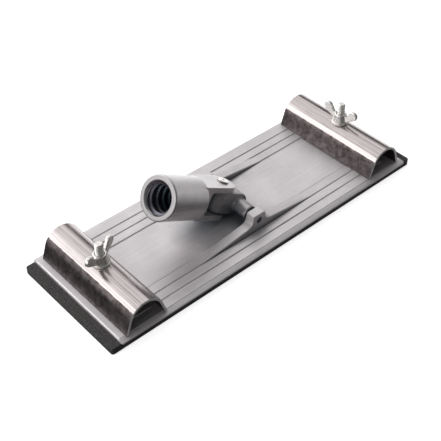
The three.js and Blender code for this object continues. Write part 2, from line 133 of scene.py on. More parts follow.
WASHER_HOLE = 2.8
WASHER_EDGE = 0.25
WASHER_HOLE_EDGE = 0.15
NUT_BASE_RADIUS = 4.7
NUT_TOP_RADIUS = 3.9
NUT_HEIGHT = 5.6
NUT_BORE = 2.55
NUT_FLANGE = 0.8
NUT_TOP_EDGE = 0.4
NUT_FLARE_LOW = 0.5
NUT_FLARE_TOP = 0.55
NUT_VOXEL = 0.22
NUT_SOFTENING = 5
WING_THICKNESS = 2.4
WING_TIP_REACH = 9.4
WING_TIP_HEIGHT = 7.2
WING_TIP_RADIUS = 2.9
WING_LOBE_START = -0.38 * math.pi
WING_LOBE_END = 0.86 * math.pi
WING_ROOT_INSET = 2
WING_ROOT_HEIGHT = 0.6
WING_NECK_OUT = 0.6
WING_NECK_HEIGHT = 0.9
WING_SHOULDER_OUT = 0.7
WING_SHOULDER_INSET = 1
WING_SHOULDER_HEIGHT = 4.9
WING_EDGE = 0.55
LEFT_NUT_TURN = math.radians(20)
RIGHT_NUT_TURN = math.radians(-84)

BARREL_RADIUS = 4.5
BARREL_HALF = 17.6
BARREL_EDGE = 0.5
TONGUE_HALF_WIDTH = 7.0
TONGUE_HALF_THICK = 6.8
SWIVEL_RUN_GAP = 0.1
SWIVEL_VOXEL = 0.35
CAST_SOFTENING = 3

TINE_HALF_WIDTH = 8.0
TINE_INNER = 7.2
TINE_OUTER = 10.8
FORK_WEB_START = 15.5
FORK_FILLET = 1.6
FORK_SUNK = 1
SOCKET_REAR = 21.5
SOCKET_MOUTH = 51.0
SOCKET_RADIUS = 13.0
SOCKET_REAR_RADIUS = 12.6
SOCKET_REAR_ROUND = 0.9
SOCKET_MOUTH_ROUND = 1.1
SOCKET_VOXEL = 0.36
BORE_DEPTH = 27.0
THREAD_MAJOR = 9.5
THREAD_MINOR = 7.9
THREAD_PITCH = 5.08
THREAD_ROOT_HALF = 0.75
THREAD_CREST_START = 1.59
THREAD_SUNK = 0.4
THREAD_SPREAD = 0.2
THREAD_CREST_DROP = 0.15
THREAD_CREST_OUT = 0.08
THREAD_CREST_IN = 0.12
THREAD_PAST_FLOOR = 0.26
THREAD_PAST_MOUTH = 3
BORE_FLARE = 0.54
BORE_FLARE_DEPTH = 0.9
RUN_IN_DEPTH = 1.9
RUN_IN_END_DEPTH = 0.7
RUN_IN_PAST = 2
RUN_IN_LENGTH = 6
CAST_UNDER = 0.25
CAST_CORE_LENGTH = 6
RIVET_RADIUS = 2.5
RIVET_HEAD_RADIUS = 3.3
RIVET_HEAD_HEIGHT = 0.8
RIVET_HEAD_GAP = 0.25
RIVET_DIMPLE_RADIUS = 0.8
RIVET_DIMPLE_DEPTH = 0.7
RIVET_UNDER_ROUND = 0.1
RIVET_CROWN_ROUND = 0.45
RIVET_DIMPLE_ROUND = 0.3

LONGEST_ROUND = 0.48  # share of an outline's side that one rounded corner may use
SHARP_ANGLE = math.radians(38)
WELD_DISTANCE = 1e-4

# ---- places that the frame gives ----


def box_mm(node):
    low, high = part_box(node)
    return low / MM, high / MM


def joint_named(name):
    return next(joint for joint in frame["joints"] if joint["name"] == name)


def centre_mm(node):
    low, high = box_mm(node)
    return (low + high) / 2


PAD_HIGH = box_mm("pad")[1]
PAD_TOP = PAD_HIGH.z
PLATE_HIGH = box_mm("base_plate")[1]
PLATE_HALF_LENGTH = PLATE_HIGH.x
PLATE_HALF_WIDTH = PLATE_HIGH.y
TILT_POINT = Vector(joint_named("pole_tilt")["pos_m"]) / MM
SWING_POINT = Vector(joint_named("pole_swing")["pos_m"]) / MM
SWING_AXIS = Vector(joint_named("pole_swing")["axis"]).normalized()
MOUTH = next(m for m in frame["record"]["mounts"] if m["name"] == "socket_mouth")


def axes_at(origin, x_axis, z_axis):
    """Matrix whose X and Z axes are the ones given, at origin."""
    z = Vector(z_axis).normalized()
    y = z.cross(Vector(x_axis)).normalized()
    x = y.cross(z)
    turn = Matrix((x, y, z)).transposed().to_4x4()
    return Matrix.Translation(origin) @ turn


SWIVEL_FRAME = axes_at(TILT_POINT, SWING_AXIS, SWING_POINT - TILT_POINT)
SOCKET_FRAME = axes_at(SWING_POINT, SWING_AXIS, MOUTH["axis"])
CLAMP_PLACES = {side: centre_mm("clamp_" + side) for side in ("left", "right")}
NUT_TURNS = {"left": LEFT_NUT_TURN, "right": RIGHT_NUT_TURN}
CREST_HEIGHT = box_mm("clamp_left")[1].z
BOLT_TOP = box_mm("clamp_bolt_left")[1].z
WASHER_LOW, WASHER_HIGH = box_mm("washer_left")
WASHER_RADIUS = (WASHER_HIGH.x - WASHER_LOW.x) / 2
CLAMP_HALF_LENGTH = (box_mm("clamp_left")[1].y - box_mm("clamp_left")[0].y) / 2

# Turns that lay a solid raised along Z down: its outline's (u, v) becomes (x, z) or (y, z).
OUTLINE_XZ = Matrix.Rotation(math.pi / 2, 4, "X")
OUTLINE_YZ = Matrix(((0, 0, 1, 0), (1, 0, 0, 0), (0, 1, 0, 0), (0, 0, 0, 1)))

# ---- outlines ----


def arc(centre, radius, start, end, count):
    """Points on a circle from start to end, angles in radians."""
    angles = np.linspace(start, end, count + 1)
    u, v = centre
    return [(u + radius * math.cos(a), v + radius * math.sin(a)) for a in angles]


def rounded(corners, steps=4):
    """Closed outline whose corners are (u, v), or (u, v, how far back a round starts)."""
    made = []
    for i, corner in enumerate(corners):
        if len(corner) == 2:
            made.append(tuple(corner))
            continue
        here = Vector(corner[:2])
        before = Vector(corners[i - 1][:2]) - here
        after = Vector(corners[(i + 1) % len(corners)][:2]) - here
        reach = min(corner[2], before.length * LONGEST_ROUND, after.length * LONGEST_ROUND)
        start = here + before.normalized() * reach
        end = here + after.normalized() * reach
        for t in np.linspace(0, 1, steps + 1):
            made.append(tuple(start * (1 - t) ** 2 + here * 2 * t * (1 - t) + end * t * t))
    return made


def rectangle(half_length, half_width, corner, steps=5):
    return rounded([
        (half_length, -half_width, corner),
        (half_length, half_width, corner),
        (-half_length, half_width, corner),
        (-half_length, -half_width, corner),
    ], steps)


def mirrored(points):
    """The other half of an outline that is the same on both sides of u = 0."""
    return [(-u, v) for u, v in reversed(points)]


def inset_outline(outline, inset):
    """The outline moved inwards by inset, mitred at its corners; it runs counter-clockwise."""
    points = np.array(outline, float)
    ahead = np.roll(points, -1, axis=0) - points
    ahead /= np.linalg.norm(ahead, axis=1)[:, None]
    normal_after = np.stack([-ahead[:, 1], ahead[:, 0]], axis=1)
    normal_before = np.roll(normal_after, 1, axis=0)
    share = 1 + (normal_before * normal_after).sum(1)
    return points + inset * (normal_before + normal_after) / share[:, None]


def soft_levels(low, high, edge, steps=3):
    """(height, inset) pairs of a solid from low to high whose two rims are rounded by edge."""
    turn = np.linspace(0, math.pi / 2, steps + 1)
    start = [(low + edge * (1 - math.cos(a)), edge * (1 - math.sin(a))) for a in turn]
    end = [(high - edge * (1 - math.sin(a)), edge * (1 - math.cos(a))) for a in turn]
    return start + end


# ---- solids, made in millimetres ----


def solid(points, faces, matrix=None):
    """A temporary mesh object with its faces turned outwards."""
    mesh = bpy.data.meshes.new("solid")
    mesh.from_pydata([tuple(p) for p in points], [], faces)
    work = bmesh.new()
    work.from_mesh(mesh)
    bmesh.ops.remove_doubles(work, verts=work.verts, dist=WELD_DISTANCE)
    bmesh.ops.recalc_face_normals(work, faces=work.faces)
    work.to_mesh(mesh)
    work.free()
    if matrix is not None:
        mesh.transform(matrix)
    made = bpy.data.objects.new("solid", mesh)
    bpy.context.scene.collection.objects.link(made)
    return made


def stack(outline, levels, matrix=None):
    """Closed solid of one outline at several heights; levels are (height, inset) pairs going up."""
    count = len(outline)
    points = []
    for height, inset in levels:
        points += [(u, v, height) for u, v in inset_outline(outline, inset)]
    faces = [tuple(reversed(range(count)))]
    for ring in range(len(levels) - 1):
        for k in range(count):
            after = (k + 1) % count
            low = ring * count
            faces.append((low + k, low + after, low + count + after, low + count + k))
    top = (len(levels) - 1) * count
    faces.append(tuple(range(top, top + count)))
    return solid(points, faces, matrix)


def prism(outline, low, high, edge=0.0, matrix=None):
    levels = soft_levels(low, high, edge) if edge else [(low, 0), (high, 0)]
    return stack(outline, levels, matrix)


def turned(profile, segments=64, matrix=None):
    """Solid of revolution about Z from (radius, height) points, bottom to top along the outside."""
    closed = profile[0][0] > 0
    points = []
    rows = []
    for radius, height in profile:
        if radius <= 0:
            rows.append([len(points)] * segments)
            points.append((0, 0, height))
            continue
        rows.append(list(range(len(points), len(points) + segments)))
        for k in range(segments):
            angle = 2 * math.pi * k / segments
            points.append((radius * math.cos(angle), radius * math.sin(angle), height))
    pairs = list(zip(rows, rows[1:]))
    if closed:
        pairs.append((rows[-1], rows[0]))
    faces = []
    for low, high in pairs:
        for k in range(segments):
            after = (k + 1) % segments
            corners = [low[k], low[after], high[after], high[k]]
            faces.append(tuple(dict.fromkeys(corners)))
    return solid(points, faces, matrix)


def helix_ridge(section, pitch, start, end, steps_per_turn):
    """Closed strip with a (radius, height) section that climbs about Z from start to end."""
    turns = (end - start) / pitch
    count = round(turns * steps_per_turn)
    sides = len(section)
    points = []
    for i in range(count + 1):
        angle = 2 * math.pi * turns * i / count
        rise = start + (end - start) * i / count
        points += [(r * math.cos(angle), r * math.sin(angle), rise + dz) for r, dz in section]
    faces = [tuple(range(sides)), tuple(reversed(range(count * sides, (count + 1) * sides)))]
    for i in range(count):
        for k in range(sides):
            after = (k + 1) % sides
            low = i * sides
            faces.append((low + k, low + sides + k, low + sides + after, low + after))
    return solid(points, faces)


def settle(target):
    """Applies the modifiers of a temporary object."""
    graph = bpy.context.evaluated_depsgraph_get()
    mesh = bpy.data.meshes.new_from_object(target.evaluated_get(graph))
    target.modifiers.clear()
    target.data = mesh
    return target


def combined(target, tools, operation):
    """target with the tools added, cut away or kept; the tools are used up."""
    for tool in tools:
        modifier = target.modifiers.new("combine", "BOOLEAN")
        modifier.operation = operation
        modifier.solver = "MANIFOLD"
        modifier.object = tool
        settle(target)
        bpy.data.objects.remove(tool)
    return target


def joined(target, *tools):
    return combined(target, tools, "UNION")


def cut(target, *tools):
    return combined(target, tools, "DIFFERENCE")


def kept_inside(target, *tools):
    return combined(target, tools, "INTERSECT")


def cast_skin(target, voxel, rounds):
    """Gives a solid the soft edges and fillets of a casting."""
    remesh = target.modifiers.new("skin", "REMESH")
    remesh.mode = "VOXEL"
    remesh.voxel_size = voxel
    smooth = target.modifiers.new("soften", "SMOOTH")
    smooth.factor = 0.5
    smooth.iterations = rounds
    return settle(target)


def rod(radius, low, high, matrix=None, segments=48):
    return turned([(0, low), (radius, low), (radius, high), (0, high)], segments, matrix)


def box(low, high, matrix=None):
    outline = [(low[0], low[1]), (high[0], low[1]), (high[0], high[1]), (low[0], high[1])]
    return stack(outline, [(low[2], 0), (high[2], 0)], matrix)


def piece(made, name, body, node_name, material, frame_matrix=None):
    """Names a finished solid, brings it to metres, and fastens it to its body."""
    made.name = name
    made.data.name = name
    made.data.transform(Matrix.Scale(MM, 4))
    if frame_matrix is not None:
        place = frame_matrix.copy()
        place.translation *= MM
        made.matrix_world = place
    made.data.shade_smooth()
    made.data.set_sharp_from_angle(angle=SHARP_ANGLE)
    weighted = made.modifiers.new("weighted", "WEIGHTED_NORMAL")
    weighted.keep_sharp = True
    made.data.materials.clear()
    made.data.materials.append(material)
    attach(made, body)
    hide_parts(node_name)


# ---- shapes ----


def pad_solid():
    outline = rectangle(PAD_HIGH.x, PAD_HIGH.y, PAD_CORNER, steps=8)
    return stack(outline, [
        (0, PAD_FOOT_INSET),
        (PAD_FOOT_RISE, 0),
        (PAD_TOP - PAD_RIM, 0),
        (PAD_TOP - PAD_RIM_SHOULDER, PAD_RIM_SHOULDER),
        (PAD_TOP, PAD_RIM),
    ])


def plate_bevel():
    """The plate's top from the rim to the outermost land on one side, as (y, z) corners."""
    return [
        (PLATE_HALF_WIDTH, PAD_TOP),
        (PLATE_HALF_WIDTH, PLATE_RIM, RIM_ROUND),
        (BEVEL_HALF + BEVEL_CREST_OUT, PLATE_TOP - BEVEL_CREST_DROP, BEVEL_CREST_ROUND),
        (BEVEL_HALF + BEVEL_STEP_OUT, PLATE_TOP - BEVEL_STEP_DROP, LIP),
        (BEVEL_HALF, PLATE_TOP, LIP),
    ]


def plate_grooves():
    """The grooves and the step down to the centre panel on one side, as (y, z) corners."""
    grooves = []
    for y in GROOVE_LINES:
        grooves += [
            (y + GROOVE_HALF, PLATE_TOP, LIP),
            (y + GROOVE_FLOOR_HALF, PLATE_TOP - GROOVE_DEPTH, LIP),
            (y - GROOVE_FLOOR_HALF, PLATE_TOP - GROOVE_DEPTH, LIP),
            (y - GROOVE_HALF, PLATE_TOP, LIP),
        ]
    panel = PANEL_HALF
    return [
        *grooves,
        (panel + GROOVE_HALF, PLATE_TOP, LIP),
        (panel + GROOVE_FLOOR_HALF, PLATE_TOP - GROOVE_DEPTH, LIP),
        (panel - GROOVE_FLOOR_HALF, PLATE_TOP - GROOVE_DEPTH, LIP),
        (panel - GROOVE_FLOOR_HALF - PANEL_STEP_RUN, PLATE_TOP - PANEL_DROP, LIP),
    ]


def plate_slab():
    plain = plate_bevel()
    grooved = plain + plate_grooves()
    spans = [
        (grooved, -GROOVE_HALF_LENGTH, GROOVE_HALF_LENGTH),
        (plain, -PLATE_HALF_LENGTH, -GROOVE_HALF_LENGTH),
        (plain, GROOVE_HALF_LENGTH, PLATE_HALF_LENGTH),
    ]
    parts = []
    for side, start, end in spans:
        other = [(-corner[0], *corner[1:]) for corner in reversed(side)]
        parts.append(prism(rounded(side + other, steps=2), start, end, matrix=OUTLINE_YZ))
    slab = joined(*parts)
    plan = rectangle(PLATE_HALF_LENGTH, PLATE_HALF_WIDTH, PLATE_CORNER, steps=6)
    below = PAD_TOP - OVERSHOOT
    plan = prism(plan, below, PLATE_TOP + OVERSHOOT)
    ends = [
        (-PLATE_HALF_LENGTH, below),
        (PLATE_HALF_LENGTH, below),
        (PLATE_HALF_LENGTH, PLATE_TOP, PLATE_END_ROUND),
        (-PLATE_HALF_LENGTH, PLATE_TOP, PLATE_END_ROUND),
    ]
    reach = PLATE_HALF_WIDTH + OVERSHOOT
    envelope = prism(rounded(ends, steps=6), -reach, reach, matrix=OUTLINE_XZ)
    return kept_inside(slab, plan, envelope)


def ear_outline():
    """Side view of a rib that ramps up into the pivot ear, as (x, z) points."""
    flare = []
    for angle in np.linspace(0, math.pi / 2, 17):
        flare.append((
            EAR_HALF_ROOT - (EAR_HALF_ROOT - EAR_NECK_HALF) * math.sin(angle),
            RIB_CREST + (EAR_NECK_Z - RIB_CREST) * (1 - math.cos(angle)),
        ))
    top = arc((EAR_HALF_TOP - EAR_CORNER, EAR_TOP - EAR_CORNER), EAR_CORNER, 0, math.pi / 2, count=6)
    foot = [
        (RIB_HALF_LENGTH, PLATE_TOP - GROOVE_DEPTH - RIB_SUNK),
        (RIB_HALF_LENGTH, PLATE_TOP - RIB_END_DROP),
    ]
    half = foot + flare + top
    return half + mirrored(half)


def pivot_rib(side):
    low, high = sorted((-side * RIB_INNER, -side * RIB_OUTER))
    return prism(ear_outline(), low, high, RIB_EDGE, OUTLINE_XZ)


def at_place(place, height=0.0):
    return Matrix.Translation((place.x, place.y, height))


def plate_solid():
    body = joined(plate_slab(), pivot_rib(-1), pivot_rib(1))
    head_top = PAD_TOP + BOLT_HEAD_GAP + BOLT_HEAD_HEIGHT
    for place in CLAMP_PLACES.values():
        top = PLATE_TOP + BOSS_HEIGHT
        profile = [
            (0, PAD_TOP + BOSS_SUNK),
            (BOSS_RADIUS, PAD_TOP + BOSS_SUNK),
            (BOSS_RADIUS, top - BOSS_ROUND),
            (BOSS_RADIUS - BOSS_SHOULDER, top - BOSS_SHOULDER),
            (BOSS_RADIUS - BOSS_ROUND, top),
            (0, top),
        ]
        joined(body, turned(profile, matrix=at_place(place)))
        pocket = BOLT_HEAD_RADIUS + BOLT_HEAD_GAP
        cut(body, rod(pocket, PAD_TOP - OVERSHOOT, head_top, at_place(place)))
        half = BOLT_NECK_HALF + PIN_FIT
        cut(body, box((-half, -half, PAD_TOP), (half, half, top + OVERSHOOT), at_place(place)))
    reach = RIB_OUTER + OVERSHOOT
    hole = rod(PIN_RADIUS + PIN_FIT, -reach, reach, OUTLINE_XZ)
    hole.data.transform(Matrix.Translation(TILT_POINT))
    return cut(body, hole)


def clamp_arch(radius, count=40):
    """One face of the bent sheet, from its foot at +x over the crest to the foot at -x."""
    centre = PLATE_TOP + CLAMP_ARCH_CENTRE
    foot = (radius + CLAMP_ARCH_CENTRE * math.sin(CLAMP_LEAN)) / math.cos(CLAMP_LEAN)
    over = arc((0, centre), radius, CLAMP_LEAN, math.pi - CLAMP_LEAN, count)
    return [(foot, PLATE_TOP), *over, (-foot, PLATE_TOP)]


def clamp_solid():
    outer = clamp_arch(CLAMP_ARCH_RADIUS)
    inner = clamp_arch(CLAMP_ARCH_RADIUS - CLAMP_SHEET)
    outline = outer + inner[::-1]
    sheet = prism(outline, -CLAMP_HALF_LENGTH, CLAMP_HALF_LENGTH, CLAMP_EDGE, OUTLINE_XZ)
    return cut(sheet, rod(CLAMP_HOLE, CREST_HEIGHT - CLAMP_HOLE_REACH, CREST_HEIGHT + OVERSHOOT))


def washer_solid():
    corners = [
        (WASHER_HOLE, WASHER_LOW.z, WASHER_HOLE_EDGE),
        (WASHER_RADIUS, WASHER_LOW.z, WASHER_EDGE),
        (WASHER_RADIUS, WASHER_HIGH.z, WASHER_EDGE),
        (WASHER_HOLE, WASHER_HIGH.z, WASHER_HOLE_EDGE),
    ]
    return turned(rounded(corners, steps=3), segments=72)


def bolt_solid():
    """Carriage bolt: low head, square neck and a threaded stud."""
    head = PAD_TOP + BOLT_HEAD_GAP
    head_top = head + BOLT_HEAD_HEIGHT
    core = BOLT_RADIUS - BOLT_THREAD_DEPTH
    neck_top = PLATE_TOP + BOSS_HEIGHT - BOLT_NECK_SHORT
    stud = rod(core, head_top - BOLT_STUD_SUNK, BOLT_TOP, segments=32)
    root = BOLT_PITCH / 2 * BOLT_RIDGE_SHARE
    section = [
        (core - BOLT_RIDGE_SUNK, -root),
        (BOLT_RADIUS, -BOLT_CREST_HALF),
        (BOLT_RADIUS, BOLT_CREST_HALF),
        (core - BOLT_RIDGE_SUNK, root),
    ]
    joined(stud, helix_ridge(section, BOLT_PITCH, head_top, BOLT_TOP + OVERSHOOT, steps_per_turn=32))
    kept_inside(stud, turned([
        (0, head),
        (BOLT_HEAD_RADIUS, head),
        (BOLT_HEAD_RADIUS, BOLT_TOP - BOLT_TIP_LENGTH),
        (BOLT_RADIUS, BOLT_TOP - BOLT_TIP_LENGTH),
        (BOLT_RADIUS - BOLT_TIP_INSET, BOLT_TOP),
        (0, BOLT_TOP),
    ], segments=48))
    crown = turned([
        (0, head),
        (BOLT_HEAD_RADIUS, head),
        (BOLT_HEAD_RADIUS, head_top - BOLT_CROWN_HEIGHT),
        (BOLT_HEAD_RADIUS - BOLT_CROWN_INSET, head_top),
        (0, head_top),
    ], segments=48)
    half = BOLT_NECK_HALF
    neck = box((-half, -half, head_top - BOLT_NECK_SUNK), (half, half, neck_top))
    return joined(stud, crown, neck)


def wing_outline():
    """One wing as (reach, height) points: a lobe on a neck that leaves the hub low down."""
    centre = (WING_TIP_REACH, WING_TIP_HEIGHT)
    return [
        (NUT_BASE_RADIUS - WING_ROOT_INSET, WING_ROOT_HEIGHT),
        (NUT_BASE_RADIUS + WING_NECK_OUT, WING_NECK_HEIGHT),
        *arc(centre, WING_TIP_RADIUS, WING_LOBE_START, WING_LOBE_END, count=20),
        (NUT_TOP_RADIUS + WING_SHOULDER_OUT, WING_SHOULDER_HEIGHT),
        (NUT_TOP_RADIUS - WING_SHOULDER_INSET, WING_SHOULDER_HEIGHT),
    ]


def wing_nut_solid():
    hub = turned([
        (0, 0),
        (NUT_BASE_RADIUS, 0),
        (NUT_BASE_RADIUS, NUT_FLANGE),
        (NUT_TOP_RADIUS, NUT_HEIGHT - NUT_TOP_EDGE),
        (NUT_TOP_RADIUS - NUT_TOP_EDGE, NUT_HEIGHT),
        (0, NUT_HEIGHT),
    ])
    outline = wing_outline()
    half = WING_THICKNESS / 2
    joined(hub, prism(outline, -half, half, WING_EDGE, OUTLINE_XZ))
    joined(hub, prism(mirrored(outline), -half, half, WING_EDGE, OUTLINE_XZ))
    cast_skin(hub, NUT_VOXEL, NUT_SOFTENING)
    bore = turned([
        (0, -OVERSHOOT),
        (NUT_BORE + NUT_FLARE_LOW + OVERSHOOT, -OVERSHOOT),
        (NUT_BORE, NUT_FLARE_LOW),
        (NUT_BORE, NUT_HEIGHT - NUT_FLARE_TOP),
        (NUT_BORE + NUT_FLARE_TOP + OVERSHOOT, NUT_HEIGHT + OVERSHOOT),
        (0, NUT_HEIGHT + OVERSHOOT),
    ], segments=48)
    return cut(hub, bore)


def swivel_solid():
    """Barrel along the tilt axis with a tongue that the fork straddles; Z runs along the tongue."""
    barrel = rounded([
        (0, -BARREL_HALF),
        (BARREL_RADIUS, -BARREL_HALF, BARREL_EDGE),
        (BARREL_RADIUS, BARREL_HALF, BARREL_EDGE),
        (0, BARREL_HALF),
    ], steps=3)
    body = turned(barrel, matrix=OUTLINE_XZ)
    reach = (SWING_POINT - TILT_POINT).length
    tongue = [(-TONGUE_HALF_WIDTH, 0), (TONGUE_HALF_WIDTH, 0)]
    tongue += arc((0, reach), TONGUE_HALF_WIDTH, 0, math.pi, count=28)
    joined(body, rod(TONGUE_HALF_THICK, -TONGUE_HALF_WIDTH, TONGUE_HALF_WIDTH, OUTLINE_XZ, segments=64))
    joined(body, prism(tongue, -TONGUE_HALF_THICK, TONGUE_HALF_THICK, matrix=OUTLINE_YZ))
    cast_skin(body, SWIVEL_VOXEL, CAST_SOFTENING)
    end = BARREL_HALF + OVERSHOOT
    tilt_hole = rod(PIN_RADIUS + SWIVEL_RUN_GAP, -end, end, OUTLINE_XZ)
    swing_hole = rod(RIVET_RADIUS + SWIVEL_RUN_GAP, -TINE_INNER, TINE_INNER, OUTLINE_YZ)
    swing_hole.data.transform(Matrix.Translation((0, 0, reach)))
    return cut(body, tilt_hole, swing_hole)


def pin_solid():
    half = (box_mm("pivot_pin")[1].y - box_mm("pivot_pin")[0].y) / 2
    corners = [(0, -half), (PIN_RADIUS, -half, PIN_EDGE), (PIN_RADIUS, half, PIN_EDGE), (0, half)]
    return turned(rounded(corners), segments=40, matrix=OUTLINE_XZ)


def fork_solid():
    """The two tines and the web that joins them, filleted inside; Z runs to the mouth."""
    end = SOCKET_REAR + FORK_SUNK
    tip = -TINE_HALF_WIDTH - OVERSHOOT
    outline = rounded([
        (-TINE_OUTER, tip),
        (-TINE_INNER, tip),
        (-TINE_INNER, FORK_WEB_START, FORK_FILLET),
        (TINE_INNER, FORK_WEB_START, FORK_FILLET),
        (TINE_INNER, tip),
        (TINE_OUTER, tip),
        (TINE_OUTER, end),
        (-TINE_OUTER, end),
    ])
    fork = prism(outline, -TINE_HALF_WIDTH, TINE_HALF_WIDTH, matrix=OUTLINE_XZ)
    side = [(TINE_HALF_WIDTH, end + OVERSHOOT), (-TINE_HALF_WIDTH, end + OVERSHOOT)]
    side += arc((0, 0), TINE_HALF_WIDTH, math.pi, 2 * math.pi, count=40)
    reach = TINE_OUTER + OVERSHOOT
    return kept_inside(fork, prism(side, -reach, reach, matrix=OUTLINE_YZ))


def thread_ridge(floor):
    """The pole thread's ridge, faded out where it meets the flared mouth."""
    mouth = SOCKET_MOUTH
    root = THREAD_PITCH / 2 - THREAD_ROOT_HALF
    crest = THREAD_PITCH / 2 - THREAD_CREST_START
    section = [
        (THREAD_MAJOR + THREAD_SUNK, -root - THREAD_SPREAD),
        (THREAD_MAJOR + THREAD_SUNK, root + THREAD_SPREAD),
        (THREAD_MINOR + THREAD_CREST_DROP, crest + THREAD_CREST_OUT),
        (THREAD_MINOR, crest - THREAD_CREST_IN),
        (THREAD_MINOR, -crest + THREAD_CREST_IN),
        (THREAD_MINOR + THREAD_CREST_DROP, -crest - THREAD_CREST_OUT),
    ]
    start = floor - THREAD_PAST_FLOOR
    end = mouth + THREAD_PAST_MOUTH
    ridge = helix_ridge(section, THREAD_PITCH, start, end, steps_per_turn=64)
    run_in = turned([
        (0, mouth - RUN_IN_DEPTH),
        (THREAD_MINOR, mouth - RUN_IN_DEPTH),
        (THREAD_MAJOR, mouth - BORE_FLARE_DEPTH),
        (THREAD_MAJOR + RUN_IN_PAST, mouth - RUN_IN_END_DEPTH),
        (THREAD_MAJOR + RUN_IN_PAST, mouth + RUN_IN_LENGTH),
        (0, mouth + RUN_IN_LENGTH),
    ], segments=96)
    return cut(ridge, run_in)


def socket_solid():
    """Pole socket: turned shell with a helical inside thread, and the cast fork behind it."""
    mouth = SOCKET_MOUTH
    shell = turned(rounded([
        (0, SOCKET_REAR),
        (SOCKET_REAR_RADIUS, SOCKET_REAR, SOCKET_REAR_ROUND),
        (SOCKET_RADIUS, mouth, SOCKET_MOUTH_ROUND),
        (0, mouth),
    ], steps=6), segments=128)
    core = rod(
        SOCKET_REAR_RADIUS - CAST_UNDER,
        SOCKET_REAR + CAST_UNDER,
        SOCKET_REAR + CAST_CORE_LENGTH,
        segments=96,
    )
    fork = joined(fork_solid(), core)
    joined(shell, cast_skin(fork, SOCKET_VOXEL, CAST_SOFTENING))
    floor = mouth - BORE_DEPTH
    flare = THREAD_MAJOR + BORE_FLARE
    cut(shell, turned([
        (0, floor),
        (THREAD_MAJOR, floor),
        (THREAD_MAJOR, mouth - BORE_FLARE_DEPTH),
        (flare, mouth),
        (flare, mouth + OVERSHOOT),
        (0, mouth + OVERSHOOT),
    ], segments=96))
    joined(shell, thread_ridge(floor))
    reach = TINE_OUTER + OVERSHOOT
    return cut(shell, rod(RIVET_RADIUS + PIN_FIT, -reach, reach, OUTLINE_YZ))


def rivet_solid():
    under = TINE_OUTER + RIVET_HEAD_GAP
    crown = under + RIVET_HEAD_HEIGHT
    head = rounded([
        (RIVET_RADIUS, under),
        (RIVET_HEAD_RADIUS, under, RIVET_UNDER_ROUND),
        (RIVET_HEAD_RADIUS, crown, RIVET_CROWN_ROUND),
        (RIVET_DIMPLE_RADIUS, crown, RIVET_DIMPLE_ROUND),
        (0, crown - RIVET_DIMPLE_DEPTH),
    ])
    foot = [(r, -z) for r, z in reversed(head)]
    return turned(foot + head, segments=48, matrix=OUTLINE_YZ)


# ---- materials ----
# Noise scales are bumps per metre along x, y and z; colours are linear; bump depths are metres.
# What blends, fades or wavers over a place on a piece does so in millimetres.
SPLIT = (0.35, 0.68)
MIDDLE = (0.3, 0.7)
MAUVE = (1.02, 0.975, 0.99)

ALONG_PLATE = (10, 700, 700)
ALONG_SOCKET = (500, 500, 16)
CAST_GRAIN = (2600, 2600, 2600)
CAST_BLOTCH = (55, 55, 55)
CAST_STREAK_SPLIT = (0.5, 0.7)
CAST_STREAK_SHARE = 0.5
CAST_STREAK_GAIN = 1.3
CAST_BRIGHTEST = 0.95
CAST_FLECK_SPLIT = (0.3, 0.42)
CAST_FLECK_KEEPS = 0.55
CAST_FLECK_GAIN = 0.72
CAST_ROUGHNESS = (0.36, 0.52)
CAST_GRAIN_DEPTH = 0.00012
CAST_BLOTCH_DEPTH = 0.0012
# Painted shade from ambient occlusion: how open a place must be to escape it, its share, how much metal
# it takes away, and its blue-black colour.
PAINTED_SHADE_OPENNESS = (0.3, 0.86)
PAINTED_SHADE_SHARE = 0.9
PAINTED_SHADE_METAL_SHARE = 0.25
PAINTED_SHADE_COLOUR = (0.03, 0.055, 0.075, 1)

# Painted shade in the pole socket's bore: a dark teal that deepens with depth below the mouth.
BORE_PAINTED_SHADE_DEEP = (0.04, 0.07, 0.085, 1)
BORE_PAINTED_SHADE_SHALLOW = (0.16, 0.15, 0.18, 1)
BORE_PAINTED_SHADE_FADE = (14, 1)
BORE_WALL_BLEND = 0.5
BORE_START_BLEND = (0.4, 1.2)
BORE_FORK_BLEND = (1, 2)
MOUTH_FACE_BLEND = (0.2, 0.05)
MOUTH_FACE_TONE = 0.36

SHEET_STREAK = (900, 14, 900)
SHEET_STREAK_SPLIT = (0.35, 0.6)
SHEET_STREAK_DEPTH = 0.00003
SHEET_SMUDGE = (120, 60, 120)
SHEET_SMUDGE_SPLIT = (0.36, 0.66)
SHEET_PATCH = (300, 260, 300)
SHEET_WAVE = (60, 26, 60)
SHEET_WAVE_DEPTH = 0.0006
SHEET_DARK = (0.38, 0.33, 0.34, 1)
SHEET_LIGHT = (0.5, 0.445, 0.45, 1)
SHEET_BRIGHT = (0.64, 0.59, 0.58, 1)
SHEET_ROUGHNESS = (0.18, 0.28)
# Painted dark reflection on the clamp legs and painted shade inside the arch: colours, the leg heights
# per side, and how the leg edge wavers and fades.
SHEET_PAINTED_SHADE_DARK = (0.055, 0.045, 0.045, 1)
SHEET_PAINTED_SHADE_LIGHT = (0.19, 0.165, 0.165, 1)
PAINTED_LEG_TOPS = {"left": 19.3, "right": 17.4}
PAINTED_LEG_WAVER = 0.15
PAINTED_LEG_FADE = 0.35
LEG_ROUGHER = 0.12
INSIDE_BLEND = (-5, -2)
CUT_EDGE_FACING = (0.45, 0.8)
CUT_EDGE_TONE = 0.86
CUT_EDGE_METAL = 0.15

ZINC_GRAIN = (1500, 1500, 1500)
ZINC_GRAIN_DEPTH = 0.00006
ZINC_CLOUD = (280, 280, 280)
ZINC_CLOUD_SPLIT = (0.35, 0.65)
ZINC_DARK = (0.82, 0.8, 0.77, 1)
ZINC_LIGHT = (0.96, 0.94, 0.91, 1)
ZINC_ROUGHNESS = (0.2, 0.34)
ZINC_METAL = 0.82

